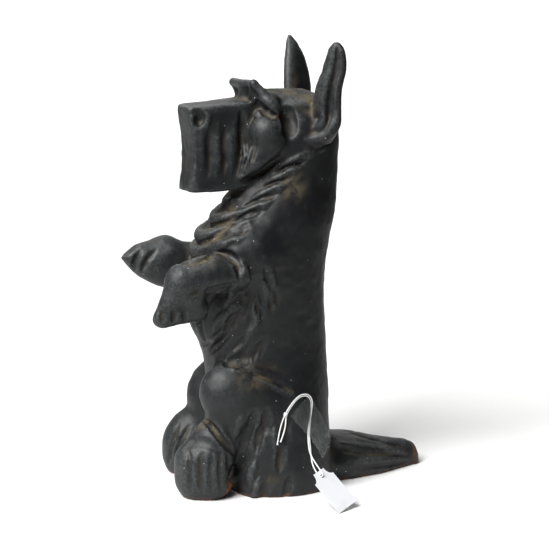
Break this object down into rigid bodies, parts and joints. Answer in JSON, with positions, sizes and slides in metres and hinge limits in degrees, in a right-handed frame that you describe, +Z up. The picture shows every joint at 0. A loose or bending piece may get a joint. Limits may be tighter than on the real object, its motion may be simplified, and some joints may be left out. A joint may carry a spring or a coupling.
{
  "type": "door stop",
  "caption": "Hollow cast-iron terrier that sits up to beg, in two halves held by slotted screws, painted black, with a strung card tag taped to its flank.",
  "frame": {"origin": "on the floor, under the middle of the castings' box", "axes": "+Z up, the dog faces -Y, its left side is +X, and the halves part on X = 0"},
  "size_m": [0.1856, 0.264, 0.38],
  "materials": {
    "black_painted_iron": "old satin black paint over cast iron, dusty in the hollows, worn to rust along the base",
    "screw_steel": "darkened slotted steel screws with traces of black paint",
    "clear_tape": "clear glossy adhesive tape, wrinkled at one end",
    "white_card": "smooth matte white card",
    "white_string": "white twisted cotton string"
  },
  "bodies": {
    "dog": {"left_half_casting": "black_painted_iron", "right_half_casting": "black_painted_iron", "shoulder_screw": "screw_steel", "haunch_screw": "screw_steel", "tape_strip": "clear_tape", "string_inner": "white_string", "string_outer": "white_string", "string_knot": "white_string"},
    "tag": {"tag_card": "white_card"}
  },
  "joints": [
    {"name": "tag_swing", "type": "hinge", "parent": "dog", "child": "tag", "pos_m": [0.0973, 0.0045, 0.026], "axis": [0.6949, 0.2313, 0.6809], "range_deg": [-45, 45]}
  ]
}
